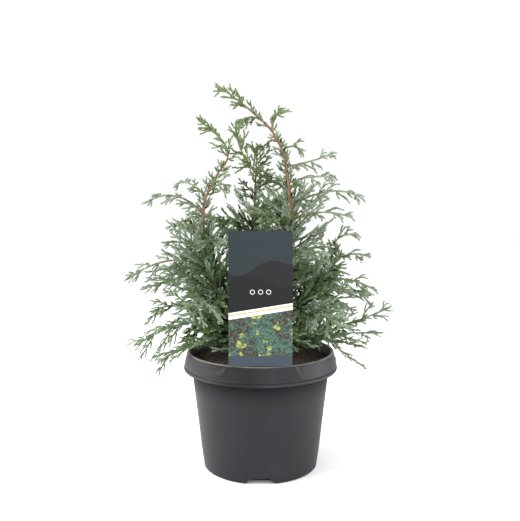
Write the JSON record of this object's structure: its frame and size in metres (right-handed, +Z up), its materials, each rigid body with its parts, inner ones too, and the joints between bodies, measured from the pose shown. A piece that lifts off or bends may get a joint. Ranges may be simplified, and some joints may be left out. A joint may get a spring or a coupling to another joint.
{
  "type": "potted dwarf sawara cypress",
  "caption": "Young feathery blue-green dwarf cypress with reddish stems in a round dark grower's pot, with an upright care card on the rim.",
  "frame": {"origin": "on the pot's flat underside, at the pot's axis", "axes": "+Z up along the pot's axis, -Y to the front, where the care card stands, +X to the plant's right as seen from the front"},
  "size_m": [0.3351, 0.2888, 0.4707],
  "materials": {
    "pot_plastic": "matt anthracite moulded plastic",
    "compost": "loose dark peat and fine bark",
    "card_print": "semi-gloss printed plastic card",
    "bark": "smooth reddish-brown young bark",
    "blue_foliage": "matt blue-green scale leaves",
    "fresh_foliage": "matt yellow-green young leaves"
  },
  "bodies": {
    "root": {"bough_back_left": "bark", "bough_back_low": "bark", "bough_back_right": "bark", "bough_leader_fan": "bark", "bough_left_arch": "bark", "bough_low_left": "bark", "bough_low_left_under": "bark", "bough_low_right": "bark", "care_card": "card_print", "compost": "compost", "pot": "pot_plastic", "spray_arch_right": "blue_foliage", "spray_arch_tip": "blue_foliage", "spray_back_high_left": "blue_foliage", "spray_back_high_right": "blue_foliage", "spray_back_left": "blue_foliage", "spray_back_low": "blue_foliage", "spray_back_middle": "blue_foliage", "spray_back_right": "blue_foliage", "spray_back_top": "blue_foliage", "spray_front_high": "blue_foliage", "spray_front_left": "blue_foliage", "spray_front_left_high": "blue_foliage", "spray_front_low_left": "blue_foliage", "spray_front_low_right": "blue_foliage", "spray_front_middle": "blue_foliage", "spray_front_right": "blue_foliage", "spray_front_right_high": "blue_foliage", "spray_inner_left": "blue_foliage", "spray_inner_right": "blue_foliage", "spray_leader_fan": "fresh_foliage", "spray_leader_right_high": "blue_foliage", "spray_leader_right_mid": "blue_foliage", "spray_leader_tip": "fresh_foliage", "spray_left_arch": "blue_foliage", "spray_left_arch_low": "blue_foliage", "spray_left_long": "blue_foliage", "spray_left_low": "blue_foliage", "spray_left_mid": "blue_foliage", "spray_left_mid_low": "blue_foliage", "spray_left_tip": "fresh_foliage", "spray_left_upper": "blue_foliage", "spray_low_left": "blue_foliage", "spray_low_left_under": "blue_foliage", "spray_low_right": "blue_foliage", "spray_low_right_under": "blue_foliage", "spray_rear_left": "blue_foliage", "spray_rear_right": "blue_foliage", "spray_right_long": "blue_foliage", "spray_right_mid": "blue_foliage", "spray_right_under": "blue_foliage", "spray_top_inner": "blue_foliage", "spray_top_left": "fresh_foliage", "spray_top_right": "blue_foliage", "spray_top_up": "fresh_foliage", "stem_back": "bark", "stem_left": "bark", "stem_right": "bark", "trunk": "bark"}
  },
  "joints": []
}
